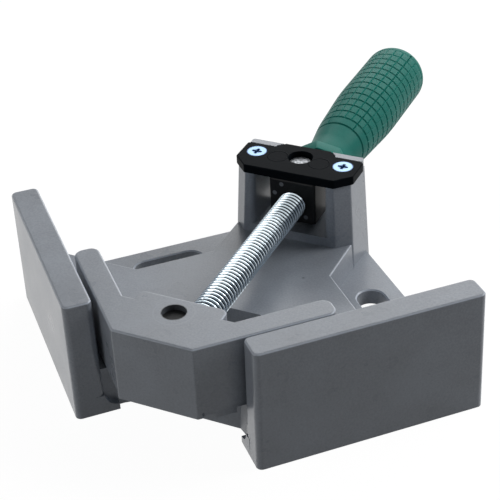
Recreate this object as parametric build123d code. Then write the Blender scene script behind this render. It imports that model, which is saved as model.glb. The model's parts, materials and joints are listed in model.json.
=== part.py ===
from build123d import *
import os
from math import asin, atan, cos, degrees, radians, sqrt, tan

# Corner clamp. The two fixed jaws meet, if drawn on, at a corner that lies in front of the
# casting. All places are worked out from that corner: X to the right, Y towards the handle,
# Z up from the bench. On each side, u runs along a fixed jaw's face from the corner and n
# points out of the clamp, square to that face. Sizes are in millimetres and degrees.

# Fixed jaws
jaw_length = 95.0
jaw_height = 54.7
jaw_thickness = 11.8
corner_relief = 44.9
jaw_wall = 3.6
jaw_crown = 5.0
jaw_corner_radius = 2.5
casting_edge_radius = 1.0
soft_edge_radius = 0.8
casting_draft = 0.8

# Deck, front lip and window
deck_height = 20.0
deck_thickness = 4.0
deck_wall = 4.0
deck_draft = 4.0
deck_behind_jaws = 2.88
flange_width = 29.7
neck_half_width = 28.3
lip_thickness = 3.4
lip_front = 27.5
lip_side_gap = 4.6
lip_notch_start = 42.6
lip_notch_length = 4.6
lip_notch_depth = 3.7
skirt_front = 43.5
skirt_half_width = 24.0
skirt_reach = 8.5
foot_width = 5.7
foot_height = 3.0
window_half_width = 14.0
window_front = 49.0
window_back = 90.0
window_radius = 3.0
rib_thickness = 3.0
rib_bench_gap = 1.5
hollow_root = 1.0

# Bench flange and its slots
flange_height = 7.5
flange_thickness = 4.0
slot_width = 12.6
slot_travel = 20.4
slot_edge_distance = 13.2
slot_near_tower = 63.4
slot_chamfer = 0.6
slot_boss_wall = 3.5

# Tower, measured from the upright axis that the nut swivels on, which stands in front of the
# corner where the flange's outer edges would meet
swivel_to_corner = 34.1
tower_half_width = 27.2
tower_front_reach = 14.45
tower_back_reach = 9.05
tower_corner = 6.2
tower_side_draft = 3.0
tower_front_draft = 2.2
tower_edge_radius = 1.5
throat_half_width = 17.0
throat_edge_radius = 2.5
sill_height = 24.4
tower_floor = 9.0
rim_depth = 3.5

# Cap plate and its screws
cap_thickness = 4.0
cap_below_jaws = 0.35
cap_half_width = 28.3
cap_front_reach = 14.75
cap_corner = 6.8
cap_radius = 1.2
cap_edge_radius = 0.5
tongue_half_width = 14.2
tongue_end_half_width = 11.0
tongue_reach = 9.8
cap_gap = 0.15
cap_screw_x = 20.9
cap_screw_y_shift = -1.4
cap_screw_radius = 2.5
cap_screw_length = 16.0
cap_screw_head_radius = 4.6
cap_screw_head_land = 0.4
cap_screw_recess_depth = 2.6
cap_screw_recess_width = 1.3
cap_screw_recess_span = 4.8
screw_gap = 0.05

# Swivel nut
nut_half_width = 11.0
nut_depth = 22.0
nut_bottom = 26.5
nut_below_cap = 2.35
nut_edge_radius = 1.2
trunnion_radius = 5.6
trunnion_recess = 2.4
trunnion_chamfer = 0.9
trunnion_shoulder_radius = 8.0
trunnion_below_sill = 8.0
running_gap = 0.1

# Spindle
spindle_height = 35.6
spindle_radius = 6.35
thread_gap = 0.05
journal_radius = 3.2
journal_gap = 0.05
journal_end_length = 1.8
spindle_in_handle = 103.5
spindle_chamfer = 0.8

# Handle
handle_length = 120.5
handle_nut_gap = 5.0
collar_across_flats = 28.6
collar_length = 7.5
collar_edge = 0.6
neck_radius = 11.2
neck_fillet = 2.2
neck_end = 18.0
flare_points = ((12.1, 26.5), (13.4, 34.5), (14.4, 46.0), (15.4, 59.0))
grip_radius = 16.0
flare_end = 76.0
handle_end_radius = 8.0
handle_dome_radius = 40.0

# Moving jaw at rest, a little short of the fixed jaws
rest_gap = 2.05
slide_gap = 0.3
nose_half_width = 17.07
moving_jaw_below_fixed = 1.3
moving_arm_end = 84.5
moving_arm_thickness = 10.44
moving_arm_radius = 4.0
block_half_width = 19.0
block_corner_radius = 3.0
nose_to_pin = 18.7
pin_to_notch = 2.9
pin_to_block_back = 8.9
moving_crown = 5.0
moving_wall = 3.3
rebate_height = 2.5
rebate_depth = 1.2
rebate_start = 28.0
boss_wall = 2.8
tunnel_gap = 0.6

# Swivel barrel, washer and ring in the moving jaw
barrel_radius = 6.0
barrel_gap = 0.05
barrel_flat = 4.2
barrel_top_radius = 4.8
barrel_top_gap = 0.1
barrel_recess = 2.5
washer_thickness = 1.0
washer_gap = 0.05
ring_thickness = 1.0
ring_width = 2.3
ring_depth = 0.6
ring_opening = 2.0

# Worked out from the sizes above
slant = sqrt(0.5)
jaw_far = corner_relief + jaw_length
deck_back = jaw_far * slant + deck_behind_jaws
deck_diagonal = jaw_far - flange_width
swivel_y = jaw_far / slant - swivel_to_corner
jaw_flare = jaw_height * tan(radians(casting_draft))
deck_flare = deck_height * tan(radians(deck_draft))
upright_limit = 0.5
deck_under = deck_height - deck_thickness
tower_front = swivel_y - tower_front_reach
tower_back = swivel_y + tower_back_reach
rim_front = tower_back - rim_depth
cap_top = jaw_height - cap_below_jaws
tower_top = cap_top - cap_thickness
nut_top = tower_top - nut_below_cap
cap_screw_y = swivel_y + cap_screw_y_shift
trunnion_top = cap_top - trunnion_recess
nose_y = nose_half_width + rest_gap / slant
pin_y = nose_y + nose_to_pin
notch_y = pin_y + pin_to_notch
block_back = pin_y + pin_to_block_back
moving_jaw_bottom = deck_height + slide_gap
moving_jaw_top = jaw_height - moving_jaw_below_fixed
moving_cavity_top = moving_jaw_top - moving_crown
shoulder_y = pin_y + barrel_flat + washer_thickness + 2 * washer_gap
ring_y = pin_y - barrel_flat - ring_thickness - washer_gap
journal_end = ring_y - journal_end_length
handle_start = swivel_y + nut_depth / 2 + handle_nut_gap
handle_end = handle_start + handle_length
spindle_end = handle_start + spindle_in_handle
middle_y = (nose_y + handle_end) / 2


def at(u, n):
    """Point u along the right fixed jaw's face and n outside it, as X and Y."""
    return ((u + n) * slant, (u - n) * slant)


def both_sides(points):
    """Closed outline through these right-hand points and their mirror images."""
    left = [(-x, y) for x, y in reversed(points)]
    return Polygon(*points, *left, align=None)


def with_mirror(shape):
    """The right-hand shape and its mirror image together."""
    return shape + mirror(shape, about=Plane.YZ)


def on_right(shape):
    """Turns a shape drawn with X along u and Y against n onto the right fixed jaw."""
    return Rot(0, 0, 45) * shape


def slab(outline, low, high):
    """Straight prism of an outline between two heights."""
    return extrude(Pos(0, 0, low) * outline, amount=high - low)


def upright_faces(shape, facing=None):
    """The shape's upright faces, or only those that face about this way."""
    sides = shape.faces().filter_by(lambda face: abs(face.normal_at().Z) < upright_limit)
    if facing is None:
        return sides
    return sides.filter_by(lambda face: face.normal_at().dot(Vector(*facing)) > 1 - upright_limit / 2)


def with_draft(faces, angle, high):
    """Leans these upright faces outwards below a height at which they keep their place."""
    return draft(faces, Plane.XY.offset(high), angle)


def box_between(x, y, z):
    """Box from three pairs of limits."""
    size = (x[1] - x[0], y[1] - y[0], z[1] - z[0])
    corner = (Align.MIN, Align.MIN, Align.MIN)
    return Pos(x[0], y[0], z[0]) * Box(*size, align=corner)


def upright(radius, x, y, low, high):
    """Upright cylinder between two heights."""
    base = (Align.CENTER, Align.CENTER, Align.MIN)
    return Pos(x, y, low) * Cylinder(radius, high - low, align=base)


def level(radius, start, end):
    """Cylinder on the spindle's line between two places along Y."""
    base = (Align.CENTER, Align.CENTER, Align.MIN)
    return Pos(0, start, spindle_height) * Rot(-90, 0, 0) * Cylinder(radius, end - start, align=base)


# Base casting

def fixed_jaw():
    """Right fixed jaw, upright on its inner side and drafted on the others."""
    corner = (Align.MIN, Align.MAX, Align.MIN)
    plate = Pos(corner_relief, 0, 0) * Box(jaw_length, jaw_thickness, jaw_height, align=corner)
    ends = upright_faces(plate, (1, 0, 0)) + upright_faces(plate, (-1, 0, 0))
    leaning = ends + upright_faces(plate, (0, -1, 0))
    plate = with_draft(leaning, casting_draft, jaw_height)
    corners = plate.edges().filter_by(lambda edge: edge.bounding_box().size.Z > jaw_height / 2)
    plate = fillet(corners, jaw_corner_radius)
    plate = on_right(fillet(plate.edges().group_by(Axis.Z)[-1], casting_edge_radius))
    foot_drop = foot_height + foot_width
    start = corner_relief - jaw_flare
    profile = Polyline((-jaw_wall, 0), (foot_width, 0), (foot_width, foot_height))
    profile += CenterArc((foot_width, foot_drop), foot_width, 180, 90)
    profile += Polyline((0, foot_drop), (-jaw_wall, foot_drop), (-jaw_wall, 0))
    foot = extrude(Plane.YZ.offset(start) * make_face(profile), amount=2 * foot_width)
    return plate + on_right(foot)


def jaw_core():
    """Slot cast into a fixed jaw from below, in three lengths between two webs."""
    length = (jaw_length - 2 * jaw_wall - 2 * rib_thickness) / 3
    width = jaw_thickness - 2 * jaw_wall
    corner = (Align.MIN, Align.MAX, Align.MIN)
    pocket = Box(length, width, jaw_height - jaw_crown, align=corner)
    step = length + rib_thickness
    start = corner_relief + jaw_wall
    pockets = [Pos(start + i * step, -jaw_wall, 0) * pocket for i in range(3)]
    return on_right(Part() + pockets)


def square_envelope():
    """The square that the two fixed jaws' outer faces and ends lie on, with their draft."""
    right = at(jaw_far, jaw_thickness)
    front = (0, -jaw_thickness / slant)
    back = (0, jaw_far / slant)
    square = Polygon(front, right, back, (-right[0], right[1]), align=None)
    block = slab(square, 0, jaw_height)
    return with_draft(upright_faces(block), casting_draft, jaw_height)


def flange():
    """Low flange all round, out to the square's edges."""
    inside = jaw_thickness / 2
    wide = jaw_far + jaw_thickness
    outline = both_sides([
        (skirt_half_width, skirt_front),
        at(corner_relief + jaw_wall, -skirt_reach),
        at(corner_relief + jaw_wall, inside),
        at(wide, inside),
        (wide / slant - tower_back, tower_back),
    ])
    return slab(outline, 0, flange_height)


def deck():
    """Raised deck with drafted walls, its neck running back into the tower."""
    inside = jaw_thickness / 2
    wide = jaw_far + inside
    outline = both_sides([
        (skirt_half_width, skirt_front),
        at(corner_relief + jaw_wall, -skirt_reach),
        at(corner_relief + jaw_wall, inside),
        at(wide, inside),
        (wide / slant - deck_back, deck_back),
        (deck_diagonal / slant - deck_back, deck_back),
        (neck_half_width, deck_diagonal / slant - neck_half_width),
        (neck_half_width, swivel_y),
    ])
    block = slab(outline, 0, deck_height)
    block = with_draft(upright_faces(block), deck_draft, deck_height)
    return fillet(block.edges().group_by(Axis.Z)[-1], soft_edge_radius)


def front_lip():
    """Thin lip of the deck under the moving jaw's nose, notched beside the fixed jaws."""
    notch_depth = lip_side_gap + lip_notch_depth
    notch_end = lip_notch_start + lip_notch_length
    outline = both_sides([
        (lip_front - lip_side_gap / slant, lip_front),
        at(lip_notch_start, -lip_side_gap),
        at(lip_notch_start, -notch_depth),
        at(notch_end, -notch_depth),
        at(notch_end, jaw_wall / 2),
        at(notch_end + deck_wall, jaw_wall / 2),
        (skirt_half_width, skirt_front + deck_wall),
    ])
    return slab(outline, deck_height - lip_thickness, deck_height)


def tower():
    """Tower, wider towards the bench, with the raised rim behind the cap plate."""
    outline = both_sides([
        (tower_half_width - tower_corner, tower_front),
        (tower_half_width, tower_front + tower_corner),
        (tower_half_width, tower_back),
    ])
    column = slab(outline, 0, tower_top)
    corner_draft = degrees(atan((tan(radians(tower_side_draft)) + tan(radians(tower_front_draft))) * slant))
    for facing, angle in (
        ((1, 0, 0), tower_side_draft),
        ((-1, 0, 0), tower_side_draft),
        ((0, -1, 0), tower_front_draft),
        ((slant, -slant, 0), corner_draft),
        ((-slant, -slant, 0), corner_draft),
    ):
        column = with_draft(upright_faces(column, facing), angle, tower_top)
    corners = column.edges().filter_by(lambda edge: edge.bounding_box().size.Z > tower_top / 2)
    column = fillet(corners.filter_by(lambda edge: edge.center().Y < swivel_y), tower_edge_radius)
    rim = both_sides([(tower_half_width, rim_front), (tower_half_width, tower_back)])
    rim = fillet(rim.vertices().group_by(Axis.Y)[-1], cap_radius)
    return column + slab(rim, tower_top, cap_top)


def cap_outline():
    """Cap plate seen from above, with the tongue that fills the notch in the tower's rim."""
    front = swivel_y - cap_front_reach
    back = rim_front - cap_gap
    tongue_end = swivel_y + tongue_reach
    shoulder = tongue_end - (tongue_half_width - tongue_end_half_width)
    outline = both_sides([
        (cap_half_width - cap_corner, front),
        (cap_half_width, front + cap_corner),
        (cap_half_width, back),
        (tongue_half_width, back),
        (tongue_half_width, shoulder),
        (tongue_end_half_width, tongue_end),
    ])
    return outline


def hollow_under_deck():
    """Open space under the deck and the tower's neck, with its ribs left standing."""
    neck = neck_half_width - deck_wall
    diagonal = deck_diagonal - deck_wall
    back = deck_back - deck_wall
    end = jaw_far - jaw_thickness
    outline = both_sides([
        (skirt_half_width - deck_wall, skirt_front + deck_wall),
        at(corner_relief + 2 * deck_wall, -skirt_reach),
        at(corner_relief + 2 * deck_wall, -hollow_root),
        at(end, -hollow_root),
        (end * slant - deck_wall, back),
        (diagonal / slant - back, back),
        (neck, diagonal / slant - neck),
        (neck, tower_front - deck_wall),
    ])
    hollow = slab(outline, 0, deck_under)
    rib_x = window_half_width + rib_thickness / 2
    rib_front = skirt_front
    high = (rib_bench_gap, deck_height)
    side_rib = box_between((rib_x, rib_x + rib_thickness), (rib_front, tower_front), high)
    window_middle = (window_front + window_back) / 2
    cross_ribs = Part()
    for y in (window_middle, window_back + rib_thickness):
        cross_ribs += box_between((rib_x, y), (y - rib_thickness, y), high)
    neck_rib_y = (window_back + tower_front) / 2
    neck_ribs = Part()
    for y in (window_back + rib_thickness, neck_rib_y):
        neck_ribs += box_between((-rib_x, rib_x), (y - rib_thickness, y), high)
    return hollow - with_mirror(side_rib + cross_ribs) - neck_ribs


def hollow_under_flange():
    """Shallow recess under the right flange, round the slot's boss."""
    inner = deck_diagonal + deck_flare + deck_wall
    outer = jaw_far - deck_wall
    tower_side = tower_half_width + tower_top * tan(radians(tower_side_draft)) + deck_wall
    deck_side = deck_back + deck_flare + deck_wall
    outline = Polygon(
        (tower_side, outer / slant - tower_side),
        (tower_side, inner / slant - tower_side),
        (inner / slant - deck_side, deck_side),
        (outer / slant - deck_side, deck_side),
        align=None,
    )
    depth = flange_height - flange_thickness
    boss = slab(slot_outline(slot_width / 2 + slot_boss_wall), 0, depth)
    return slab(outline, 0, depth) - on_right(boss)


def slot_outline(radius):
    """Round-ended slot in the right flange, along the flange's outer edge."""
    across = jaw_far - slot_edge_distance
    middle = slot_near_tower - slot_travel / 2
    slot = SlotCenterToCenter(slot_travel, 2 * radius)
    return Pos(across, middle, 0) * Rot(0, 0, 90) * slot


def bench_slot():
    """Cutter for the right slot, with the chamfer at its upper edge."""
    slot = slab(slot_outline(slot_width / 2), 0, flange_height)
    top = Pos(0, 0, flange_height) * slot_outline(slot_width / 2 + slot_chamfer)
    return on_right(slot + extrude(top, amount=-slot_chamfer, taper=45))


def hollow_under_tower():
    """Open space below the tower's floor."""
    half = neck_half_width - deck_wall
    front = tower_front + deck_wall
    back = tower_back - deck_wall
    top = sill_height - tower_floor
    return box_between((-half, half), (front, back), (0, top))


def throat():
    """Opening through the tower for the swivel nut, with the pivot bore in its floor."""
    long_way = (tower_front - tower_corner, tower_back + tower_corner)
    gap = box_between((-throat_half_width, throat_half_width), long_way, (sill_height, tower_top))
    floor_under = sill_height - tower_floor
    return gap + upright(trunnion_radius + running_gap, 0, swivel_y, floor_under, sill_height)


def throat_edges(body):
    """The upright edges where the throat opens through the tower's front face."""
    long_edges = body.edges().filter_by(lambda edge: edge.bounding_box().size.Z > throat_half_width)
    beside = long_edges.filter_by(lambda edge: abs(abs(edge.center().X) - throat_half_width) < cap_gap)
    return beside.filter_by(lambda edge: abs(edge.center().Y - tower_front) < tower_edge_radius)


def window():
    """Opening in the deck behind the moving jaw's nose."""
    outline = both_sides([(window_half_width, window_front), (window_half_width, window_back)])
    outline = fillet(outline.vertices(), window_radius)
    return slab(outline, 0, deck_height)


def make_base_casting():
    """Deck, flange, fixed jaws and tower in one casting."""
    body = (flange() + deck()) & square_envelope()
    body += tower() + front_lip() + with_mirror(fixed_jaw())
    body -= hollow_under_deck() + hollow_under_tower() + with_mirror(hollow_under_flange() + jaw_core())
    body -= with_mirror(bench_slot()) + window() + throat()
    body = fillet(throat_edges(body), throat_edge_radius)
    notch = offset(cap_outline(), amount=cap_gap)
    body -= slab(notch, tower_top, cap_top + cap_thickness)
    screw_bottom = tower_top - cap_screw_length
    tapped = upright(cap_screw_radius + screw_gap, cap_screw_x, cap_screw_y, screw_bottom, tower_top)
    return body - with_mirror(tapped)


# Cap plate and its screws

def screw_head(gap):
    """Countersunk head at the right-hand screw's place, grown by a gap."""
    cone_height = cap_screw_head_radius - cap_screw_radius
    low = cap_top - cap_screw_head_land - cone_height
    cone = Cone(cap_screw_radius + gap, cap_screw_head_radius + gap, cone_height)
    land_middle = cap_top - cap_screw_head_land / 2
    land = Cylinder(cap_screw_head_radius + gap, cap_screw_head_land)
    head = Pos(0, 0, low + cone_height / 2) * cone + Pos(0, 0, land_middle) * land
    return Pos(cap_screw_x, cap_screw_y, 0) * head


def make_cap_plate():
    """Plate over the tower, with the upper pivot hole and two countersunk holes."""
    outline = cap_outline()
    outer = outline.vertices().filter_by(lambda v: abs(v.X) > tongue_half_width + cap_gap)
    plate = slab(fillet(outer, cap_radius), tower_top, cap_top)
    plate = fillet(plate.edges().group_by(Axis.Z)[-1], cap_edge_radius)
    plate -= upright(trunnion_radius + running_gap, 0, swivel_y, tower_top, cap_top)
    shank = upright(cap_screw_radius + screw_gap, cap_screw_x, cap_screw_y, tower_top, cap_top)
    return plate - with_mirror(shank + screw_head(screw_gap))


def make_cap_screws():
    """Two countersunk screws with cross recesses."""
    low = tower_top - cap_screw_length + cap_screw_radius
    shank_top = cap_top - cap_screw_head_land
    shank = upright(cap_screw_radius, cap_screw_x, cap_screw_y, low, shank_top)
    bar = Box(cap_screw_recess_span, cap_screw_recess_width, cap_screw_recess_depth)
    cross = bar + Rot(0, 0, 90) * bar
    recess = Pos(cap_screw_x, cap_screw_y, cap_top - cap_screw_recess_depth / 2) * cross
    return with_mirror(shank + screw_head(0) - recess)


# Swivel nut

def make_swivel_nut():
    """Block that the spindle screws through, with its two trunnions."""
    half = (-nut_half_width, nut_half_width)
    depth = (swivel_y - nut_depth / 2, swivel_y + nut_depth / 2)
    block = box_between(half, depth, (nut_bottom, nut_top))
    block = fillet(block.edges(), nut_edge_radius)
    upper = upright(trunnion_radius, 0, swivel_y, nut_top - nut_edge_radius, trunnion_top)
    upper = chamfer(upper.edges().group_by(Axis.Z)[-1], trunnion_chamfer)
    shoulder_low = sill_height + slide_gap
    shoulder = upright(trunnion_shoulder_radius, 0, swivel_y, shoulder_low, nut_bottom + nut_edge_radius)
    lower = upright(trunnion_radius, 0, swivel_y, sill_height - trunnion_below_sill, shoulder_low)
    lower = chamfer(lower.edges().group_by(Axis.Z)[0], trunnion_chamfer)
    thread = level(spindle_radius + thread_gap, depth[0], depth[1])
    return block + upper + shoulder + lower - thread


# Spindle and handle

def make_spindle():
    """Screw with a journal at the front, grooved for the retaining ring."""
    screw = level(spindle_radius, shoulder_y, spindle_end)
    screw = chamfer(screw.edges().filter_by(GeomType.CIRCLE), spindle_chamfer)
    journal = level(journal_radius, journal_end, shoulder_y + spindle_chamfer)
    groove_start = ring_y - washer_gap
    groove_end = ring_y + ring_thickness + washer_gap
    groove = level(journal_radius, groove_start, groove_end)
    groove -= level(journal_radius - ring_depth, groove_start, groove_end)
    return screw + journal - groove


def make_handle_grip():
    """Turned handle with an eight-sided collar, bored blind for the spindle."""
    shoulder_x = grip_radius - handle_end_radius
    turn = asin(shoulder_x / (handle_dome_radius - handle_end_radius))
    end_rise = handle_end_radius * cos(turn) + handle_dome_radius * (1 - cos(turn))
    full = handle_length - end_rise
    root = neck_radius + neck_fillet
    fillet_end = collar_length + neck_fillet
    front = Polyline((0, 0), (root, 0), (root, collar_length))
    front += CenterArc((root, fillet_end), neck_fillet, 180, 90)
    front += Line((neck_radius, fillet_end), (neck_radius, neck_end))
    flare = Spline(
        (neck_radius, neck_end),
        *flare_points,
        (grip_radius, flare_end),
        tangents=((0, 1), (0, 1)),
    )
    side = Line((grip_radius, flare_end), (grip_radius, full))
    corner = CenterArc((shoulder_x, full), handle_end_radius, 0, 90 - degrees(turn))
    dome_middle = (0, handle_length - handle_dome_radius)
    dome = CenterArc(dome_middle, handle_dome_radius, 90 - degrees(turn), degrees(turn))
    close = Line((0, handle_length), (0, 0))
    profile = make_face(front + flare + side + corner + dome + close)
    octagon = RegularPolygon(collar_across_flats / 2, 8, major_radius=False, rotation=22.5)
    collar = extrude(Plane.XZ.offset(-collar_length) * octagon, amount=collar_length)
    collar = chamfer(collar.edges(), collar_edge)
    grip = Pos(0, handle_start, spindle_height) * (revolve(profile, Axis.Y) + collar)
    return grip - level(spindle_radius + screw_gap, handle_start, spindle_end + spindle_chamfer)


# Moving jaw

def moving_outline(inset, side_inset):
    """Moving jaw seen from above; insets draw in all sides and the arms' outer sides."""
    face = -rest_gap - inset - side_inset
    inner = -rest_gap - moving_arm_thickness + inset
    end = moving_arm_end - inset
    front = nose_y + inset
    notch = notch_y - inset
    back = block_back - inset
    side = block_half_width - inset
    nose = at(rebate_start, -rest_gap - inset)
    return both_sides([
        (front - (rest_gap + inset) / slant, front),
        nose,
        at(rebate_start + side_inset, face),
        at(end, face),
        at(end, inner),
        (notch + inner / slant, notch),
        (side, notch),
        (side, back),
    ])


def rounded_moving_outline(side_inset):
    """Moving jaw seen from above with its round arm ends and block corners."""
    outline = moving_outline(0, side_inset)
    face = -rest_gap - side_inset
    inner = -rest_gap - moving_arm_thickness
    for side in (1, -1):
        for radius, (x, y) in (
            (moving_arm_radius, at(moving_arm_end, face)),
            (moving_arm_radius, at(moving_arm_end, inner)),
            (block_corner_radius, (block_half_width, block_back)),
            (casting_edge_radius, at(nose_y / slant - rest_gap, -rest_gap)),
        ):
            corner = outline.vertices().sort_by_distance((side * x, y, 0))[0]
            outline = fillet(corner, radius)
    return outline


def moving_hollow():
    """Open space in the moving jaw from below, with cross ribs in the arms left standing."""
    hollow = slab(moving_outline(moving_wall, 0), moving_jaw_bottom, moving_cavity_top)
    rib = Box(rib_thickness, moving_arm_thickness, moving_cavity_top - moving_jaw_bottom)
    arm_middle = rest_gap + moving_arm_thickness / 2
    rib_z = (moving_jaw_bottom + moving_cavity_top) / 2 + rib_bench_gap
    arm_start = corner_relief
    spacing = (moving_arm_end - arm_start) / 3
    ribs = [on_right(Pos(arm_start + i * spacing, arm_middle, rib_z) * rib) for i in (1, 2)]
    return hollow - with_mirror(Part() + ribs)


def make_moving_jaw():
    """V-shaped jaw, hollow from below, with the boss that holds the swivel barrel."""
    rebate_top = moving_jaw_bottom + rebate_height
    upper = slab(rounded_moving_outline(0), rebate_top, moving_jaw_top)
    upper = fillet(upper.edges().group_by(Axis.Z)[-1], casting_edge_radius)
    body = upper + slab(rounded_moving_outline(rebate_depth), moving_jaw_bottom, rebate_top)
    body -= moving_hollow()
    boss = upright(barrel_radius + boss_wall, 0, pin_y, moving_jaw_bottom, moving_cavity_top)
    body += boss & slab(moving_outline(0, 0), moving_jaw_bottom, moving_cavity_top)
    bore = upright(barrel_radius + barrel_gap, 0, pin_y, moving_jaw_bottom, moving_cavity_top)
    top_hole = upright(barrel_top_radius + barrel_top_gap, 0, pin_y, moving_cavity_top, moving_jaw_top)
    tunnel = level(spindle_radius + tunnel_gap, nose_y + moving_wall, block_back)
    return body - bore - top_hole - tunnel


# Swivel barrel, washer and ring

def make_swivel_barrel():
    """Upright pin with a cross bore for the spindle's journal and a flat on each side."""
    body = upright(barrel_radius, 0, pin_y, moving_jaw_bottom, moving_cavity_top - barrel_gap)
    top = moving_jaw_top - barrel_recess
    body += upright(barrel_top_radius, 0, pin_y, moving_cavity_top - slide_gap, top)
    for side in (1, -1):
        near = pin_y + side * barrel_flat
        far = pin_y + side * 2 * barrel_flat
        body -= level(spindle_radius + tunnel_gap / 2, min(near, far), max(near, far))
    reach = 2 * barrel_radius
    return body - level(journal_radius + journal_gap, pin_y - reach, pin_y + reach)


def make_thrust_washer():
    """Washer between the spindle's shoulder and the barrel."""
    start = pin_y + barrel_flat + washer_gap
    disc = level(spindle_radius - washer_gap, start, start + washer_thickness)
    return disc - level(journal_radius + journal_gap, start, start + washer_thickness)


def make_retaining_ring():
    """Open ring in the journal's groove."""
    inner = journal_radius - ring_depth + washer_gap
    disc = level(inner + ring_width, ring_y, ring_y + ring_thickness)
    disc -= level(inner, ring_y, ring_y + ring_thickness)
    half = ring_opening / 2
    below = (spindle_height - inner - ring_width, spindle_height)
    return disc - box_between((-half, half), (ring_y, ring_y + ring_thickness), below)


pieces = {
    "base_casting": make_base_casting,
    "cap_plate": make_cap_plate,
    "cap_screws": make_cap_screws,
    "swivel_nut": make_swivel_nut,
    "spindle": make_spindle,
    "handle_grip": make_handle_grip,
    "moving_jaw": make_moving_jaw,
    "swivel_barrel": make_swivel_barrel,
    "thrust_washer": make_thrust_washer,
    "retaining_ring": make_retaining_ring,
}

# The stored origin is on the bench, under the middle of the whole clamp
os.makedirs("parts", exist_ok=True)
to_middle = Pos(0, -middle_y, 0)
for name, make in pieces.items():
    export_step(to_middle * make(), f"parts/{name}.step")
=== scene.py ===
"""Looks of the corner clamp: castings, black cap and nut, zinc spindle and moulded handle."""

import bisect
import json
import math

import bpy
from mathutils import Matrix, Vector


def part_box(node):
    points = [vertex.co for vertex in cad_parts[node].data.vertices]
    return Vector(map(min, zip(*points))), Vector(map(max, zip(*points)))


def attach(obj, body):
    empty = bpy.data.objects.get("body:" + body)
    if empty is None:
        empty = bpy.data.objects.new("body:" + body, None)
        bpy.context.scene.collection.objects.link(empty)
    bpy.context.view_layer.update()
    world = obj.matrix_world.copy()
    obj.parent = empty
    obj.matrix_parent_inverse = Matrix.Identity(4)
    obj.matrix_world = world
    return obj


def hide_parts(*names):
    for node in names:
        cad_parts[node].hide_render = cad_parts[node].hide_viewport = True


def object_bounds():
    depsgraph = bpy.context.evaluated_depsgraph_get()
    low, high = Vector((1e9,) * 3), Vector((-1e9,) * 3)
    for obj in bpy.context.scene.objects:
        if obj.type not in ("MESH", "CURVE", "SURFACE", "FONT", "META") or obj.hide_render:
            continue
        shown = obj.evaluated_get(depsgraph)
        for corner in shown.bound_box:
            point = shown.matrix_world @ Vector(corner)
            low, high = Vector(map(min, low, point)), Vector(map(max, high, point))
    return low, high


bl_info = {
    "name": "Corner clamp",
    "version": (1, 0, 0),
    "blender": (4, 5, 0),
    "location": "View3D > Sidebar > Clamp",
    "description": "Dresses the packed corner clamp and sets up its studio",
    "category": "Object",
}

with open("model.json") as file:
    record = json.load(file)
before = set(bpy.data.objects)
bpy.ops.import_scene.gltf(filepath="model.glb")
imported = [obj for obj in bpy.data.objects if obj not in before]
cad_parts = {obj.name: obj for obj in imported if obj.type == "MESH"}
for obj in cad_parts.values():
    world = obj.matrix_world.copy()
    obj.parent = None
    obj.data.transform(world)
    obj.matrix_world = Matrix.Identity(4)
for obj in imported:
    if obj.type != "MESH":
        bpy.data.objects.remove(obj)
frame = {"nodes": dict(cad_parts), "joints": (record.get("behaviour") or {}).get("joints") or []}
cad_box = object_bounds()

MM = 0.001
FULL_TURN = 2 * math.pi
EIGHTH_TURN = FULL_TURN / 8
MERGE_DISTANCE = 1e-6
JOINTS = {joint["name"]: joint for joint in frame["joints"]}
SWIVEL = Vector(JOINTS["nut_swivel"]["pos_m"])
PIN = Vector(JOINTS["jaw_swing"]["pos_m"])

# What a distance is measured across: an upright axis, or one that runs along the spindle
UPRIGHT = (1.0, 1.0, 0.0)
LEVEL = (1.0, 0.0, 1.0)

# Attribute that holds how deep each point of the handle lies in a groove
GROOVE = "groove_depth"


# Sizes and colours that a user would change

class ClampSizes(bpy.types.PropertyGroup):
    """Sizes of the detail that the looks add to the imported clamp."""
    thread_pitch: bpy.props.FloatProperty(
        name="Thread pitch", description="Advance of the spindle in one turn, 12 threads per inch",
        default=25.4 / 12 * MM, unit="LENGTH")
    thread_depth: bpy.props.FloatProperty(
        name="Thread depth", description="Height of the rolled thread over its root",
        default=1.15 * MM, unit="LENGTH")
    journal_radius: bpy.props.FloatProperty(
        name="Journal radius", description="Radius of the spindle's journal in the barrel",
        default=3.2 * MM, unit="LENGTH")
    running_gap: bpy.props.FloatProperty(
        name="Running gap", description="Gap where a turning piece faces or fits round another",
        default=0.1 * MM, unit="LENGTH")
    collar_flats: bpy.props.FloatProperty(
        name="Collar flats", description="Width of the handle's eight-sided collar across its flats",
        default=28.6 * MM, unit="LENGTH")
    collar_length: bpy.props.FloatProperty(
        name="Collar length", description="Length of the collar along the handle",
        default=7.5 * MM, unit="LENGTH")
    bore_length: bpy.props.FloatProperty(
        name="Bore length", description="Depth of the spindle's bore in the handle",
        default=20.0 * MM, unit="LENGTH")
    pad_pitch: bpy.props.FloatProperty(
        name="Pad pitch", description="Length of one row of raised pads on the handle",
        default=5.75 * MM, unit="LENGTH")
    pad_rows: bpy.props.IntProperty(
        name="Pad rows", description="Rows of pads along the handle", default=13)
    pad_columns: bpy.props.IntProperty(
        name="Pad columns", description="Pads round the handle", default=24)
    pad_seams: bpy.props.IntProperty(
        name="Pad seams", description="Deeper grooves along the handle, between panels of pads", default=6)
    pad_start: bpy.props.FloatProperty(
        name="Pad start", description="Plain front of the handle before the pads start",
        default=35.9 * MM, unit="LENGTH")
    pad_turn: bpy.props.FloatProperty(
        name="Pad turn", description="Turn of the pads round the handle at rest",
        default=math.radians(95.5), subtype="ANGLE")
    groove_width: bpy.props.FloatProperty(
        name="Groove width", description="Width of the grooves between the pads",
        default=1.2 * MM, unit="LENGTH")
    groove_depth: bpy.props.FloatProperty(
        name="Groove depth", description="Depth of the grooves between the pads",
        default=0.6 * MM, unit="LENGTH")
    neck_ring: bpy.props.FloatProperty(
        name="Neck ring", description="Place of the ring groove on the handle's plain front",
        default=30.5 * MM, unit="LENGTH")


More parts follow.
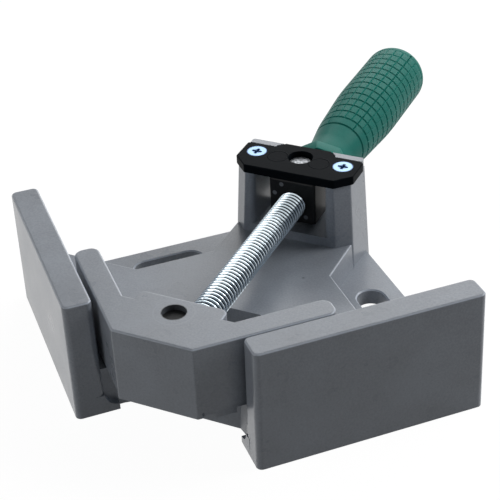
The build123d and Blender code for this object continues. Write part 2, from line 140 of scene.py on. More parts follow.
class ClampColours(bpy.types.PropertyGroup):
    """Colours of the clamp's finishes, as sRGB hex values."""
    casting: bpy.props.StringProperty(
        name="Casting", description="Grey of the blasted castings", default="#8c929b")
    cap: bpy.props.StringProperty(
        name="Cap", description="Black of the cap plate", default="#0b0f13")
    nut: bpy.props.StringProperty(
        name="Nut", description="Black of the swivel nut", default="#101214")
    nut_mark: bpy.props.StringProperty(
        name="Nut marks", description="Grey of the moulding marks on the nut", default="#6a6e74")
    zinc: bpy.props.StringProperty(
        name="Zinc", description="Bright metal of the washer and the nut's bare end", default="#c9cdd2")
    spindle: bpy.props.StringProperty(
        name="Spindle", description="Bright zinc on the spindle's thread", default="#d7e4ec")
    blue_zinc: bpy.props.StringProperty(
        name="Blue zinc", description="Blue passivated zinc on the cap screws", default="#8fa9c2")
    # Painted shade for the screws: down in their recesses and round their heads' rims
    painted_recess_shade: bpy.props.StringProperty(
        name="Screw recess", description="Dark blue down in the screws' recesses", default="#2f5c96")
    # Painted shade down in the spindle's thread, darkest at its root
    painted_thread_shade: bpy.props.StringProperty(
        name="Thread root", description="Oily dark down in the spindle's thread", default="#222e33")
    oxide: bpy.props.StringProperty(
        name="Black oxide", description="Black oxide on the jaw's pin and ring", default="#191a1b")
    handle: bpy.props.StringProperty(
        name="Handle", description="Green of the moulded handle", default="#1e7066")
    studio: bpy.props.StringProperty(
        name="Studio", description="White of the floor", default="#ffffff")


def sizes():
    """The scene's clamp sizes."""
    return bpy.context.scene.clamp_sizes


def colours():
    """The scene's clamp colours."""
    return bpy.context.scene.clamp_colours


# Materials

def linear(hex_colour):
    """Linear red, green, blue and alpha of an sRGB hex colour."""
    channels = [int(hex_colour[i:i + 2], 16) / 255 for i in (1, 3, 5)]
    curve = [c / 12.92 if c <= 0.04045 else ((c + 0.055) / 1.055) ** 2.4 for c in channels]
    return (*curve, 1.0)


def new_material(name):
    """Empty node material with its output node."""
    material = bpy.data.materials.new(name)
    material.use_nodes = True
    tree = material.node_tree
    tree.nodes.clear()
    return material, tree, tree.nodes.new("ShaderNodeOutputMaterial")


def add_node(tree, kind, settings=None, values=None, links=None):
    """Adds a node with its settings, its input values and the sockets that feed its inputs."""
    node = tree.nodes.new(kind)
    for name, value in (settings or {}).items():
        setattr(node, name, value)
    for name, value in (values or {}).items():
        node.inputs[name].default_value = value
    for name, socket in (links or {}).items():
        tree.links.new(socket, node.inputs[name])
    return node


def ramp(tree, factor, stops):
    """Colour ramp through these positions and linear colours."""
    node = add_node(tree, "ShaderNodeValToRGB", links={"Fac": factor})
    elements = node.color_ramp.elements
    while len(elements) > len(stops):
        elements.remove(elements[-1])
    while len(elements) < len(stops):
        elements.new(1.0)
    for element, (position, colour) in zip(elements, stops):
        element.position = position
        element.color = colour
    return node


def grey(value):
    """Opaque linear grey."""
    return (value, value, value, 1.0)


def tinted(colour, factor):
    """A linear colour made lighter or darker."""
    return (colour[0] * factor, colour[1] * factor, colour[2] * factor, 1.0)


def gauge(tree, value, low, high, start=0.0, end=1.0):
    """Value taken from the range low to high onto start to end, and held there."""
    return add_node(tree, "ShaderNodeMapRange",
                    values={"From Min": low, "From Max": high, "To Min": start, "To Max": end},
                    links={"Value": value}).outputs["Result"]


def maths(tree, operation, first, second):
    """Result of a maths node on a socket and a socket or number."""
    node = add_node(tree, "ShaderNodeMath", settings={"operation": operation})
    for socket, value in zip(node.inputs, (first, second)):
        if isinstance(value, bpy.types.NodeSocket):
            tree.links.new(value, socket)
        else:
            socket.default_value = value
    return node.outputs["Value"]


def distance_from(tree, place, centre, keep):
    """Distance of the surface from centre, along the axes that keep holds as 1."""
    flat = add_node(tree, "ShaderNodeVectorMath", settings={"operation": "MULTIPLY"},
                    links={"Vector": place})
    flat.inputs[1].default_value = keep
    node = add_node(tree, "ShaderNodeVectorMath", settings={"operation": "DISTANCE"},
                    links={"Vector": flat.outputs["Vector"]})
    node.inputs[1].default_value = Vector(centre) * Vector(keep)
    return node.outputs["Value"]


def ring(tree, distance, radius, width):
    """1 on a thin ring at this radius, fading to 0 over its width on both sides."""
    away = maths(tree, "ABSOLUTE", maths(tree, "SUBTRACT", distance, radius), 0.0)
    return gauge(tree, away, 0.0, width, 1.0, 0.0)


def blended(tree, factor, first, second):
    """Colour socket that goes from the first colour to the second with the factor."""
    node = add_node(tree, "ShaderNodeMix", settings={"data_type": "RGBA"}, links={"Factor": factor})
    colour_inputs = [socket for socket in node.inputs if socket.type == "RGBA"]
    for socket, colour in zip(colour_inputs, (first, second)):
        if isinstance(colour, bpy.types.NodeSocket):
            tree.links.new(colour, socket)
        else:
            socket.default_value = colour
    return next(socket for socket in node.outputs if socket.type == "RGBA")


def rounded_edge(tree):
    """1 on the small rounds between upright and level faces, by the slope of the surface."""
    normal = add_node(tree, "ShaderNodeNewGeometry").outputs["Normal"]
    slope = add_node(tree, "ShaderNodeSeparateXYZ", links={"Vector": normal}).outputs["Z"]
    # Halfway round, with next to nothing left on the level and the upright face
    halfway = 0.62
    fade = 0.36
    return ring(tree, slope, halfway, fade)


def cast_alloy(name, rings):
    """Die-cast aluminium, tumbled and sprayed a satin metallic grey.

    The rings are marks on upward faces, each a centre, radius, width and brightness: witness marks, or
    painted shade round a hole's lip.
    """
    material, tree, output = new_material(name)
    place = add_node(tree, "ShaderNodeTexCoord").outputs["Object"]
    # Broad clouds of slightly duller and shinier skin, some 20 mm across
    clouds = add_node(tree, "ShaderNodeTexNoise", values={"Scale": 50.0, "Detail": 3.0, "Roughness": 0.55},
                      links={"Vector": place}).outputs["Fac"]
    # Blasted grain of about 0.8 mm
    grain = add_node(tree, "ShaderNodeTexNoise", values={"Scale": 1200.0, "Detail": 2.0},
                     links={"Vector": place}).outputs["Fac"]
    base = linear(colours().casting)
    mottle = maths(tree, "ADD", maths(tree, "MULTIPLY", clouds, 0.5), maths(tree, "MULTIPLY", grain, 0.5))
    colour = ramp(tree, mottle, [(0.35, tinted(base, 0.86)), (0.65, tinted(base, 1.12))]).outputs["Color"]
    for centre, radius, width, brightness in rings:
        mark = ring(tree, distance_from(tree, place, centre, UPRIGHT), radius, width)
        colour = blended(tree, mark, colour, tinted(base, brightness))
    # Upward-facing rounded edges get a painted highlight, much brighter than the base, and are worn a
    # little smoother
    edge_highlight_and_wear = rounded_edge(tree)
    colour = blended(tree, edge_highlight_and_wear, colour, tinted(base, 2.2))
    rough = gauge(tree, clouds, 0.3, 0.7, 0.26, 0.36)
    rough = maths(tree, "SUBTRACT", rough, maths(tree, "MULTIPLY", edge_highlight_and_wear, 0.06))
    bump = add_node(tree, "ShaderNodeBump", values={"Strength": 0.05, "Distance": 0.2 * MM},
                    links={"Height": grain}).outputs["Normal"]
    # The skin is a little uneven, in waves some 5 mm long, under a thin clear lacquer
    waves = add_node(tree, "ShaderNodeTexNoise", values={"Scale": 200.0, "Detail": 1.0},
                     links={"Vector": place}).outputs["Fac"]
    uneven = add_node(tree, "ShaderNodeBump", values={"Strength": 0.2, "Distance": 0.3 * MM},
                      links={"Height": waves, "Normal": bump}).outputs["Normal"]
    finished(tree, output,
             {"Metallic": 0.0, "IOR": 1.33, "Coat Weight": 0.4, "Coat Roughness": 0.25, "Coat IOR": 1.33},
             {"Base Color": colour, "Roughness": rough, "Normal": uneven, "Coat Normal": uneven})
    return material


def grained(tree, colour, grain_mm, strength):
    """Place, colour and normal sockets of an even colour with a fine grain of the given size."""
    place = add_node(tree, "ShaderNodeTexCoord").outputs["Object"]
    grain = add_node(tree, "ShaderNodeTexNoise", values={"Scale": 1.0 / (grain_mm * MM), "Detail": 3.0},
                     links={"Vector": place}).outputs["Fac"]
    base = linear(colour)
    shade = ramp(tree, grain, [(0.3, tinted(base, 0.92)), (0.7, tinted(base, 1.06))]).outputs["Color"]
    bump = add_node(tree, "ShaderNodeBump", values={"Strength": strength, "Distance": 0.2 * MM},
                    links={"Height": grain}).outputs["Normal"]
    return place, shade, bump


def finished(tree, output, values, links):
    """Feeds the output from one surface shader."""
    surface = add_node(tree, "ShaderNodeBsdfPrincipled", values=values, links=links)
    tree.links.new(surface.outputs["BSDF"], output.inputs["Surface"])


def plain_finish(name, colour, metallic, roughness, specular, grain_mm, strength):
    """Finish with an even colour and a fine grain of the given size."""
    material, tree, output = new_material(name)
    _, shade, bump = grained(tree, colour, grain_mm, strength)
    finished(tree, output, {"Metallic": metallic, "Roughness": roughness, "Specular IOR Level": specular},
             {"Base Color": shade, "Normal": bump})
    return material


def moulded_nylon():
    """Glass-filled nylon, moulded with a fine satin grain and two faint ejector rings."""
    material, tree, output = new_material("black_moulded_nylon")
    place, shade, bump = grained(tree, colours().cap, grain_mm=0.5, strength=0.12)
    ring_radius = 4.6 * MM
    ring_width = 0.35 * MM
    beside_hole = 10.0 * MM
    before_hole = 2.4 * MM
    for side in (-1.0, 1.0):
        centre = (side * beside_hole, SWIVEL.y - before_hole, 0.0)
        mark = ring(tree, distance_from(tree, place, centre, UPRIGHT), ring_radius, ring_width)
        bump = add_node(tree, "ShaderNodeBump", values={"Strength": 0.7, "Distance": 0.3 * MM},
                        links={"Height": mark, "Normal": bump}).outputs["Normal"]
    finished(tree, output, {"Metallic": 0.0, "Roughness": 0.42, "Specular IOR Level": 0.015},
             {"Base Color": shade, "Normal": bump})
    return material


def screw_heads():
    """Radius of the cap screws' heads and the axes of both."""
    low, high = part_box("cap_screws")
    radius = (high.y - low.y) / 2
    middle = (low.y + high.y) / 2
    return radius, [Vector((low.x + radius, middle, 0.0)), Vector((high.x - radius, middle, 0.0))]


def screw_plating():
    """Steel with blue passivated zinc, with painted shade down in the driver's recess."""
    material, tree, output = new_material("blue_zinc_plate")
    place, shade, bump = grained(tree, colours().blue_zinc, grain_mm=0.6, strength=0.05)
    height = add_node(tree, "ShaderNodeSeparateXYZ", links={"Vector": place}).outputs["Z"]
    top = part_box("cap_screws")[1].z
    face_depth = 0.1 * MM
    dark_depth = 0.7 * MM
    # Painted shade that grows with depth in the recess, and takes the metal away with it
    deep = gauge(tree, height, top - dark_depth, top - face_depth, 1.0, 0.0)
    radius, screws = screw_heads()
    edge_radius = radius - 0.1 * MM
    edge_width = 0.4 * MM
    recess_radius = 1.0 * MM
    recess_shade_radius = 2.2 * MM
    for screw in screws:
        # Painted shade where the head meets the cap, and spread round the recess
        away = distance_from(tree, place, screw, UPRIGHT)
        rim_shade = ring(tree, away, edge_radius, edge_width)
        recess_shade = gauge(tree, away, recess_radius, recess_shade_radius, 0.85, 0.0)
        deep = maths(tree, "MAXIMUM", deep, maths(tree, "MAXIMUM", rim_shade, recess_shade))
    colour = blended(tree, deep, shade, linear(colours().painted_recess_shade))
    finished(tree, output, {"Roughness": 0.45},
             {"Base Color": colour, "Metallic": maths(tree, "SUBTRACT", 1.0, deep), "Normal": bump})
    return material


def coated_nut():
    """Black coated block with its moulding marks, and a bare bright end on its upper pin."""
    material, tree, output = new_material("black_coated_block")
    place, shade, bump = grained(tree, colours().nut, grain_mm=0.5, strength=0.15)
    # Round marks on the nut's front, in millimetres to the right of its middle and over the bench
    marks = ((-5.0, 45.3), (-8.4, 40.4), (6.6, 30.3))
    mark_radius = 1.2 * MM
    mark_fade = 0.3 * MM
    for x, z in marks:
        away = distance_from(tree, place, (x * MM, 0.0, z * MM), LEVEL)
        mark = gauge(tree, away, mark_radius - mark_fade, mark_radius, 1.0, 0.0)
        shade = blended(tree, mark, shade, linear(colours().nut_mark))
    height = add_node(tree, "ShaderNodeSeparateXYZ", links={"Vector": place}).outputs["Z"]
    bare_length = 1.0 * MM
    bare_fade = 0.1 * MM
    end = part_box("swivel_nut")[1].z - bare_length
    bare = gauge(tree, height, end, end + bare_fade)
    # Sawn metal, blotched with dull patches about 1 mm across
    blotches = add_node(tree, "ShaderNodeTexNoise", values={"Scale": 900.0, "Detail": 4.0},
                        links={"Vector": place}).outputs["Fac"]
    silver = linear(colours().zinc)
    dull = (0.38, tinted(silver, 0.16))
    bright = (0.54, tinted(silver, 0.5))
    metal = ramp(tree, blotches, [dull, bright]).outputs["Color"]
    colour = blended(tree, bare, shade, metal)
    finished(tree, output, {"Specular IOR Level": 0.2},
             {"Base Color": colour, "Metallic": maths(tree, "MULTIPLY", bare, 0.9),
              "Roughness": gauge(tree, bare, 0.0, 1.0, 0.4, 0.3), "Normal": bump})
    return material


def plated_thread(axis, root, crest):
    """Bright zinc with painted shade down in the thread, by distance from the spindle's axis."""
    material, tree, output = new_material("bright_zinc_spindle")
    place, shade, bump = grained(tree, colours().spindle, grain_mm=0.8, strength=0.04)
    away = distance_from(tree, place, axis, LEVEL)
    depth = gauge(tree, away, root, crest, 1.0, 0.0)
    # Shares of the thread's depth at which the painted shade begins and at which it covers the zinc
    shade_begins = 0.2
    shade_covers = 0.62
    dark = gauge(tree, depth, shade_begins, shade_covers)
    colour = blended(tree, dark, shade, linear(colours().painted_thread_shade))
    finished(tree, output, {"Metallic": 1.0, "Roughness": 0.18}, {"Base Color": colour, "Normal": bump})
    return material


def moulded_green():
    """Polypropylene with a soft satin face, and painted light that makes it a little paler down in the
    grooves.
    """
    material, tree, output = new_material("green_moulded_polypropylene")
    _, shade, bump = grained(tree, colours().handle, grain_mm=0.6, strength=0.08)
    groove = add_node(tree, "ShaderNodeAttribute", settings={"attribute_name": GROOVE}).outputs["Fac"]
    # Painted light: the grooves are made paler than the face, against the shade that falls in them
    colour = blended(tree, groove, shade, tinted(linear(colours().handle), 1.35))
    finished(tree, output, {"Metallic": 0.0, "Roughness": 0.4, "Specular IOR Level": 0.08},
             {"Base Color": colour, "Normal": bump})
    return material


def dress(piece, material):
    """Gives a piece one material in all its slots."""
    piece.data.materials.clear()
    piece.data.materials.append(material)


# Modelling

def start_mesh(name):
    """New mesh object with one vertex at the origin, open in edit mode."""
    bpy.ops.object.select_all(action="DESELECT")
    bpy.ops.mesh.primitive_plane_add(size=1.0, location=(0, 0, 0))
    piece = bpy.context.active_object
    piece.name = name
    piece.data.name = name
    bpy.ops.object.mode_set(mode="EDIT")
    bpy.ops.mesh.select_mode(type="VERT")
    bpy.ops.mesh.select_all(action="SELECT")
    bpy.ops.mesh.merge(type="CENTER")
    return piece


def draw_line(points):
    """Moves the one vertex to the first point and extrudes it along the others."""
    bpy.ops.mesh.select_all(action="SELECT")
    bpy.ops.transform.translate(value=points[0])
    for here, there in zip(points, points[1:]):
        bpy.ops.mesh.extrude_region_move(TRANSFORM_OT_translate={"value": Vector(there) - Vector(here)})


def clean_mesh():
    """Merges doubles and turns all faces outwards."""
    bpy.ops.mesh.select_all(action="SELECT")
    bpy.ops.mesh.remove_doubles(threshold=MERGE_DISTANCE)
    bpy.ops.mesh.normals_make_consistent(inside=False)


def turned(name, points, centre, steps, start=FULL_TURN / 4):
    """Solid turned round the line along Y through centre, from (radius, y) points.

    The outline is drawn at the angle start from straight up, towards the right.
    """
    piece = start_mesh(name)
    across, rise = math.sin(start), math.cos(start)
    draw_line([(centre.x + radius * across, y, centre.z + radius * rise) for radius, y in points])
    bpy.ops.mesh.select_all(action="SELECT")
    bpy.ops.mesh.spin(steps=steps, angle=FULL_TURN, center=centre, axis=(0, 1, 0))
    clean_mesh()
    bpy.ops.object.mode_set(mode="OBJECT")
    return piece


def smooth(piece, angle=30.0):
    """Shades a piece smooth, with edges sharper than the angle left crisp."""
    bpy.ops.object.select_all(action="DESELECT")
    piece.select_set(True)
    bpy.context.view_layer.objects.active = piece
    bpy.ops.object.shade_smooth_by_angle(angle=math.radians(angle))


def select_vertices(piece, test):
    """In edit mode, selects the vertices whose place passes the test."""
    bpy.ops.mesh.select_mode(type="VERT")
    bpy.ops.mesh.select_all(action="DESELECT")
    bpy.ops.object.mode_set(mode="OBJECT")
    for vertex in piece.data.vertices:
        vertex.select = test(vertex.co)
    bpy.ops.object.mode_set(mode="EDIT")


class CLAMP_OT_castings(bpy.types.Operator):
    """Finishes the base casting and the moving jaw"""
    bl_idname = "clamp.castings"
    bl_label = "Castings"

    def execute(self, context):
        # A dark ejector mark on the deck, right of the spindle, and on the moving jaw a pale ring round
        # the pin's hole and painted shade on the hole's lip
        deck_mark = (Vector((18.0, -38.51, 0.0)) * MM, 0.0, 0.9 * MM, 0.4)
        pale_ring = (PIN, 8.0 * MM, 0.3 * MM, 1.12)
        lip_painted_shade = (PIN, 4.9 * MM, 0.5 * MM, 0.35)
        marks = {"base_casting": [deck_mark], "moving_jaw": [pale_ring, lip_painted_shade]}
        for node, rings in marks.items():
            dress(frame["nodes"][node], cast_alloy("satin_grey_" + node, rings))
            smooth(frame["nodes"][node])
        return {"FINISHED"}


class CLAMP_OT_cap(bpy.types.Operator):
    """Finishes the cap plate and its screws"""
    bl_idname = "clamp.cap"
    bl_label = "Cap plate"

    def execute(self, context):
        dress(frame["nodes"]["cap_plate"], moulded_nylon())
        dress(frame["nodes"]["cap_screws"], screw_plating())
        smooth(frame["nodes"]["cap_plate"])
        smooth(frame["nodes"]["cap_screws"])
        return {"FINISHED"}


class CLAMP_OT_nut(bpy.types.Operator):
    """Finishes the swivel nut"""
    bl_idname = "clamp.nut"
    bl_label = "Swivel nut"

    def execute(self, context):
        dress(frame["nodes"]["swivel_nut"], coated_nut())
        smooth(frame["nodes"]["swivel_nut"])
        return {"FINISHED"}


class CLAMP_OT_jaw_pin(bpy.types.Operator):
    """Finishes the swivel barrel, washer and ring in the moving jaw"""
    bl_idname = "clamp.jaw_pin"
    bl_label = "Jaw pin"

    def execute(self, context):
        oxide = plain_finish("black_oxide_steel", colours().oxide, metallic=0.0, roughness=0.4,
                             specular=0.15, grain_mm=1.5, strength=0.6)
        zinc = plain_finish("zinc_plated_washer", colours().zinc, metallic=1.0, roughness=0.3,
                            specular=0.5, grain_mm=0.5, strength=0.05)
        finishes = {"swivel_barrel": oxide, "retaining_ring": oxide, "thrust_washer": zinc}
        for node, material in finishes.items():
            dress(frame["nodes"][node], material)
            smooth(frame["nodes"][node])
        return {"FINISHED"}


class CLAMP_OT_spindle(bpy.types.Operator):
    """Cuts the spindle's thread"""
    bl_idname = "clamp.spindle"
    bl_label = "Spindle"

    def execute(self, context):
        low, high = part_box("spindle")
        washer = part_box("thrust_washer")[1]
        radius = (high.z - low.z) / 2
        axis = Vector(((low.x + high.x) / 2, 0.0, (low.z + high.z) / 2))
        pitch = sizes().thread_pitch
        root = radius - sizes().thread_depth
        flank_top = root + 0.8 * sizes().thread_depth
        start = washer.y + sizes().running_gap
        turns = math.ceil((high.y - start) / pitch) + 2
        steps_a_turn = 32
        piece = start_mesh("spindle_thread")
        # One pitch of the thread, in shares of the pitch: root, flank, rounded crest, flank
        draw_line([
            (root, 0.0, 0.0),
            (root, 0.14 * pitch, 0.0),
            (flank_top, 0.42 * pitch, 0.0),
            (radius, 0.5 * pitch, 0.0),
            (radius, 0.64 * pitch, 0.0),
            (flank_top, 0.72 * pitch, 0.0),
            (root, pitch, 0.0),
        ])
        bpy.ops.object.mode_set(mode="OBJECT")
        screw = piece.modifiers.new("thread", "SCREW")
        screw.axis = "Y"
        screw.angle = FULL_TURN
        screw.screw_offset = pitch
        screw.iterations = turns
        screw.steps = steps_a_turn
        screw.render_steps = steps_a_turn
        screw.use_merge_vertices = True
        screw.merge_threshold = MERGE_DISTANCE
        bpy.ops.object.modifier_apply(modifier=screw.name)
        bpy.ops.object.mode_set(mode="EDIT")
        bpy.ops.mesh.select_all(action="SELECT")
        bpy.ops.transform.translate(value=(axis.x, start - pitch, axis.z))
        for place, side in ((start, -1.0), (high.y, 1.0)):
            bpy.ops.mesh.select_all(action="SELECT")
            bpy.ops.mesh.bisect(plane_co=(axis.x, place, axis.z), plane_no=(0, side, 0),
                                use_fill=True, clear_outer=True)
        clean_mesh()
        bpy.ops.object.mode_set(mode="OBJECT")
        # Steel, thread rolled and then plated with bright zinc
        zinc = plated_thread(axis, root, radius)
        journal_radius = sizes().journal_radius
        chamfer = 0.4 * MM
        journal = turned("spindle_journal", [
            (0.0, low.y),
            (journal_radius - chamfer, low.y),
            (journal_radius, low.y + chamfer),
            (journal_radius, start),
            (0.0, start),
        ], axis, steps=48)
        for part in (piece, journal):
            dress(part, zinc)
            smooth(part, angle=40.0)
        bpy.ops.object.select_all(action="DESELECT")
        journal.select_set(True)
        piece.select_set(True)
        bpy.context.view_layer.objects.active = piece
        bpy.ops.object.join()
        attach(piece, "spindle_and_handle")
        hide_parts("spindle")
        return {"FINISHED"}


def cad_outline(node, centre, bore):
    """Places along Y and outer radii round centre of a CAD node's vertices outside its bore."""
    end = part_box(node)[1].y
    margin = 0.5 * MM
    # Vertices whose places agree to a hundredth of a millimetre make one point
    digits = 5
    widest = {}
    for vertex in frame["nodes"][node].data.vertices:
        place = round(vertex.co.y, digits)
        radius = math.hypot(vertex.co.x - centre.x, vertex.co.z - centre.z)
        if radius < bore + margin and place < end - bore:
            continue
        widest[place] = max(widest.get(place, 0.0), radius)
    places = sorted(widest)
    return places, [widest[place] for place in places]


def radius_at(outline, place):
    """Outer radius at a place, between the outline's own places."""
    places, radii = outline
    after = min(max(bisect.bisect(places, place), 1), len(places) - 1)
    share = (place - places[after - 1]) / (places[after] - places[after - 1])
    return radii[after - 1] + share * (radii[after] - radii[after - 1])


def grip_points(low, high, outline, bore):
    """Outline of the moulded grip from its bore to its domed end, with the grooves across."""
    size = sizes()
    bore_end = low.y + size.bore_length
    collar_end = low.y + size.collar_length
    inside_collar = 0.9 * MM
    root = size.collar_flats / 2 - inside_collar
    half = size.groove_width / 2
    points = [(0.0, bore_end), (bore, bore_end), (bore, low.y), (root, low.y), (root, collar_end)]
    front = len(points)
    # Grooves across, as a place and a depth; the last few before the domed end run out
    ring_depth = 1.2 * size.groove_depth
    grooves = [(low.y + size.neck_ring, ring_depth)]
    fading = 4
    for row in range(size.pad_rows + 1):
        fade = min(1.0, (size.pad_rows + 1 - row) / fading)
        grooves.append((low.y + size.pad_start + row * size.pad_pitch, fade * size.groove_depth))
    # Points without a groove: close together on the hollow neck, and the CAD's own on the dome
    neck_step = 0.6 * MM
    neck_points = 24
    plain = [collar_end + step * neck_step for step in range(1, neck_points + 1)]
    past_pads = grooves[-1][0] + 1.0 * MM
    plain += [place for place in outline[0] if place > past_pads]
    for place, depth in grooves:
        points.append((radius_at(outline, place - half), place - half))
        points.append((radius_at(outline, place) - depth, place))
        points.append((radius_at(outline, place + half), place + half))
        points.append((radius_at(outline, place + size.pad_pitch / 2), place + size.pad_pitch / 2))
    tip_margin = 0.01 * MM
    tip = high.y - tip_margin
    points += [(radius_at(outline, place), place) for place in plain if place < tip]
    points = points[:front] + sorted(points[front:], key=lambda point: point[1])
    return points + [(0.0, high.y)]


def press_columns(piece, low, outline, centre):
    """Presses the grooves along the handle into the vertices that lie on their lines."""
    size = sizes()
    between = FULL_TURN / size.pad_columns
    seams_every = size.pad_columns // size.pad_seams
    margin = 0.1 * MM
    first = low.y + size.pad_start - margin
    last = first + size.pad_rows * size.pad_pitch + 2 * margin
    # The seams start at the ring on the neck and run on a little past the pads
    run_on = 2.0 * MM
    seam_first = low.y + size.neck_ring
    seam_last = last + run_on
    seam_depth = 1.3 * size.groove_depth
    line_depth = 0.8 * size.groove_depth
    # How far from a line a vertex may lie and still be on it, in shares of a column
    off_line = 0.02

    def column(place):
        """Number of the line that a place lies on, or None."""
        angle = math.atan2(place.x - centre.x, place.z - centre.z) - size.pad_turn
        number = angle / between
        if abs(number - round(number)) > off_line:
            return None
        return round(number)

    def on_seam(place):
        """Whether a place lies on one of the deeper grooves."""
        number = column(place)
        if number is None or number % seams_every:
            return False
        return seam_first < place.y < seam_last and on_surface(place)

    def on_line(place):
        """Whether a place lies on a plain groove between two columns."""
        number = column(place)
        if number is None or number % seams_every == 0:
            return False
        return first < place.y < last and on_surface(place)

    def on_surface(place):
        """Whether a place lies on the face of the handle, clear of the grooves across."""
        radius = math.hypot(place.x - centre.x, place.z - centre.z)
        return radius > radius_at(outline, place.y) - margin

    # Radius at which drawing in by the factor gives the full depth
    middle = 15.0 * MM
    bpy.ops.object.mode_set(mode="EDIT")
    for test, depth in ((on_seam, seam_depth), (on_line, line_depth)):
        select_vertices(piece, test)
        factor = 1.0 - depth / middle
        bpy.ops.transform.resize(value=(factor, 1.0, factor), center_override=centre)
    clean_mesh()
    bpy.ops.object.mode_set(mode="OBJECT")


def mark_grooves(piece, outline, centre):
    """Keeps at each vertex how deep in a groove it lies, from 0 on the face to 1."""
    groove = piece.data.attributes.new(GROOVE, "FLOAT", "POINT")
    depth = sizes().groove_depth
    for vertex, value in zip(piece.data.vertices, groove.data):
        place = vertex.co
        below = radius_at(outline, place.y) - math.hypot(place.x - centre.x, place.z - centre.z)
        if below < 3 * depth:
            value.value = min(max(below / depth, 0.0), 1.0)


class CLAMP_OT_handle(bpy.types.Operator):
    """Moulds the handle with its collar, pads and grooves"""
    bl_idname = "clamp.handle"
    bl_label = "Handle"

    def execute(self, context):
        low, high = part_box("handle_grip")
        centre = Vector((0.0, 0.0, (low.z + high.z) / 2))
        spindle_low, spindle_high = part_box("spindle")
        bore = (spindle_high.z - spindle_low.z) / 2 + sizes().running_gap
        outline = cad_outline("handle_grip", centre, bore)
        points = grip_points(low, high, outline, bore)
        steps_a_pad = 10
        steps = steps_a_pad * sizes().pad_columns
        grip = turned("handle_moulding", points, centre, steps=steps, start=sizes().pad_turn)
        press_columns(grip, low, outline, centre)
        mark_grooves(grip, outline, centre)

        # Eight-sided collar with its flats up, down and to the sides
        corner_radius = sizes().collar_flats / 2 / math.cos(EIGHTH_TURN / 2)
        collar_length = sizes().collar_length
        bpy.ops.mesh.primitive_cylinder_add(
            vertices=8, radius=corner_radius, depth=collar_length,
            location=(centre.x, low.y + collar_length / 2, centre.z),
            rotation=(FULL_TURN / 4, 0.0, EIGHTH_TURN / 2))
        collar = context.active_object
        collar.name = "handle_collar"
        bpy.ops.object.transform_apply(location=True, rotation=True, scale=True)
        bevel = collar.modifiers.new("edges", "BEVEL")
        bevel.width = 0.6 * MM
        bevel.segments = 3
        bpy.ops.object.modifier_apply(modifier=bevel.name)

        green = moulded_green()
        for part in (grip, collar):
            dress(part, green)
            smooth(part, angle=24.0)
        bpy.ops.object.select_all(action="DESELECT")
        collar.select_set(True)
        grip.select_set(True)
        context.view_layer.objects.active = grip
        bpy.ops.object.join()
        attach(grip, "spindle_and_handle")
        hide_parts("handle_grip")
        return {"FINISHED"}


# Softboxes: name, place in metres, side in metres and power in watts
SOFTBOXES = (
    ("softbox_back", (-0.05, 0.75, 0.65), 1.0, 6.5),
    ("softbox_back_right", (0.8, 0.55, 0.72), 0.65, 8.0),
    ("softbox_front_left", (-0.35, -0.5, 0.25), 0.3, 0.58),
    ("softbox_front_right", (0.5, -0.6, 0.12), 0.3, 0.12),
)
SOFTBOX_AIM = (0.0, -0.04, 0.03)
FLOOR_SIDE = 12.0

# The photograph's camera: place in metres, angles in degrees, lens and sensor in millimetres
CAMERA_PLACE = (0.20408, -0.47066, 0.34525)
CAMERA_AZIMUTH = 26.046
CAMERA_ELEVATION = 33.35
CAMERA_ROLL = -2.979
CAMERA_LENS = 94.42
CAMERA_SENSOR = 36.0


def area_light(name, place, size, power):
    """Square softbox at a place, pointing at the clamp."""
    light = bpy.data.lights.new(name, "AREA")
    light.shape = "SQUARE"
    light.size = size
    light.energy = power
    lamp = bpy.data.objects.new(name, light)
    lamp.location = place
    lamp.rotation_mode = "QUATERNION"
    lamp.rotation_quaternion = (Vector(SOFTBOX_AIM) - Vector(place)).to_track_quat("-Z", "Y")
    bpy.context.scene.collection.objects.link(lamp)


def plainly_seen(tree):
    """1 for rays from the camera and for reflected or transmitted ones, 0 for light."""
    path = add_node(tree, "ShaderNodeLightPath")
    seen = path.outputs["Is Camera Ray"]
    for kind in ("Is Glossy Ray", "Is Transmission Ray"):
        seen = maths(tree, "MAXIMUM", seen, path.outputs[kind])
    return seen


def studio_floor():
    """White paper sweep, lighter to the camera than to the object."""
    material, tree, output = new_material("white_paper_floor")
    white = linear(colours().studio)
    # The camera sees mostly an even glow, with some of the shaded paper in it
    glow_strength = 1.05
    glow_share = 0.92
    dimmed = 0.3
    paper = add_node(tree, "ShaderNodeBsdfDiffuse", values={"Color": tinted(white, dimmed)})
    shown = add_node(tree, "ShaderNodeBsdfDiffuse", values={"Color": white})
    glow = add_node(tree, "ShaderNodeEmission", values={"Color": white, "Strength": glow_strength})
    sweep = add_node(tree, "ShaderNodeMixShader", values={"Fac": glow_share})
    tree.links.new(shown.outputs["BSDF"], sweep.inputs[1])
    tree.links.new(glow.outputs["Emission"], sweep.inputs[2])
    mix = add_node(tree, "ShaderNodeMixShader", links={"Fac": plainly_seen(tree)})
    tree.links.new(paper.outputs["BSDF"], mix.inputs[1])
    tree.links.new(sweep.outputs["Shader"], mix.inputs[2])
    tree.links.new(mix.outputs["Shader"], output.inputs["Surface"])
    return material


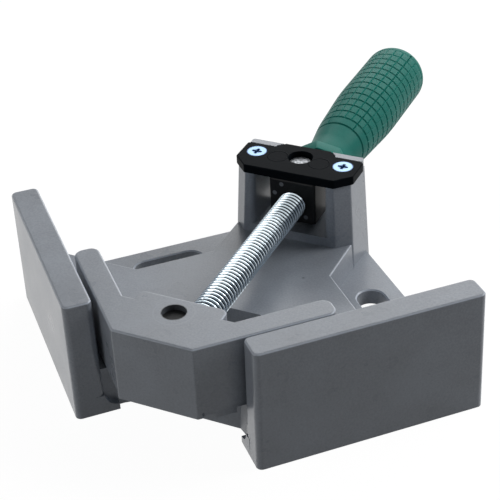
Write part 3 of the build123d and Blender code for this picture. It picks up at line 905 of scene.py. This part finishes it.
class CLAMP_OT_studio(bpy.types.Operator):
    """Floor, lights, world and camera"""
    bl_idname = "clamp.studio"
    bl_label = "Studio"

    def execute(self, context):
        scene = context.scene
        scene.view_settings.view_transform = "Standard"
        bpy.ops.object.select_all(action="DESELECT")
        bpy.ops.mesh.primitive_plane_add(size=FLOOR_SIDE, location=(0, 0, cad_box[0].z))
        floor = context.active_object
        floor.name = "studio_floor"
        dress(floor, studio_floor())

        world = bpy.data.worlds.new("white_room")
        world.use_nodes = True
        scene.world = world
        tree = world.node_tree
        tree.nodes.clear()
        room_strength = 0.05
        room = add_node(tree, "ShaderNodeBackground",
                        values={"Color": grey(1.0), "Strength": room_strength})
        backdrop = add_node(tree, "ShaderNodeBackground", values={"Color": grey(1.0), "Strength": 1.0})
        mix = add_node(tree, "ShaderNodeMixShader", links={"Fac": plainly_seen(tree)})
        tree.links.new(room.outputs["Background"], mix.inputs[1])
        tree.links.new(backdrop.outputs["Background"], mix.inputs[2])
        output = add_node(tree, "ShaderNodeOutputWorld")
        tree.links.new(mix.outputs["Shader"], output.inputs["Surface"])

        for softbox in SOFTBOXES:
            area_light(*softbox)

        azimuth = math.radians(CAMERA_AZIMUTH)
        elevation = math.radians(CAMERA_ELEVATION)
        roll = math.radians(CAMERA_ROLL)
        right = Vector((math.cos(azimuth), math.sin(azimuth), 0.0))
        back = Vector((math.sin(azimuth) * math.cos(elevation),
                       -math.cos(azimuth) * math.cos(elevation), math.sin(elevation)))
        up = back.cross(right)
        side = right * math.cos(roll) + up * math.sin(roll)
        top = up * math.cos(roll) - right * math.sin(roll)
        data = bpy.data.cameras.new("camera")
        camera = bpy.data.objects.new("camera", data)
        scene.collection.objects.link(camera)
        turn = Matrix((side, top, back)).transposed()
        camera.matrix_world = Matrix.Translation(CAMERA_PLACE) @ turn.to_4x4()
        data.sensor_width = CAMERA_SENSOR
        data.lens = CAMERA_LENS
        scene.camera = camera
        return {"FINISHED"}


class CLAMP_PT_panel(bpy.types.Panel):
    """Lists the clamp's pieces, sizes and colours"""
    bl_idname = "CLAMP_PT_panel"
    bl_label = "Corner clamp"
    bl_space_type = "VIEW_3D"
    bl_region_type = "UI"
    bl_category = "Clamp"

    def draw(self, context):
        layout = self.layout
        for operator in OPERATORS:
            layout.operator(operator.bl_idname)
        for group in (context.scene.clamp_sizes, context.scene.clamp_colours):
            for name in group.__annotations__:
                layout.prop(group, name)


OPERATORS = (
    CLAMP_OT_castings,
    CLAMP_OT_cap,
    CLAMP_OT_nut,
    CLAMP_OT_jaw_pin,
    CLAMP_OT_spindle,
    CLAMP_OT_handle,
    CLAMP_OT_studio,
)
CLASSES = (ClampSizes, ClampColours, *OPERATORS, CLAMP_PT_panel)


def register():
    """Registers the classes and the scene's sizes and colours."""
    for cls in CLASSES:
        bpy.utils.register_class(cls)
    bpy.types.Scene.clamp_sizes = bpy.props.PointerProperty(type=ClampSizes)
    bpy.types.Scene.clamp_colours = bpy.props.PointerProperty(type=ClampColours)


def unregister():
    """Removes what register added."""
    del bpy.types.Scene.clamp_colours
    del bpy.types.Scene.clamp_sizes
    for cls in reversed(CLASSES):
        bpy.utils.unregister_class(cls)


def main():
    """Makes every piece in order."""
    register()
    bpy.ops.clamp.castings()
    bpy.ops.clamp.cap()
    bpy.ops.clamp.nut()
    bpy.ops.clamp.jaw_pin()
    bpy.ops.clamp.spindle()
    bpy.ops.clamp.handle()
    bpy.ops.clamp.studio()


if __name__ == "__main__":
    main()
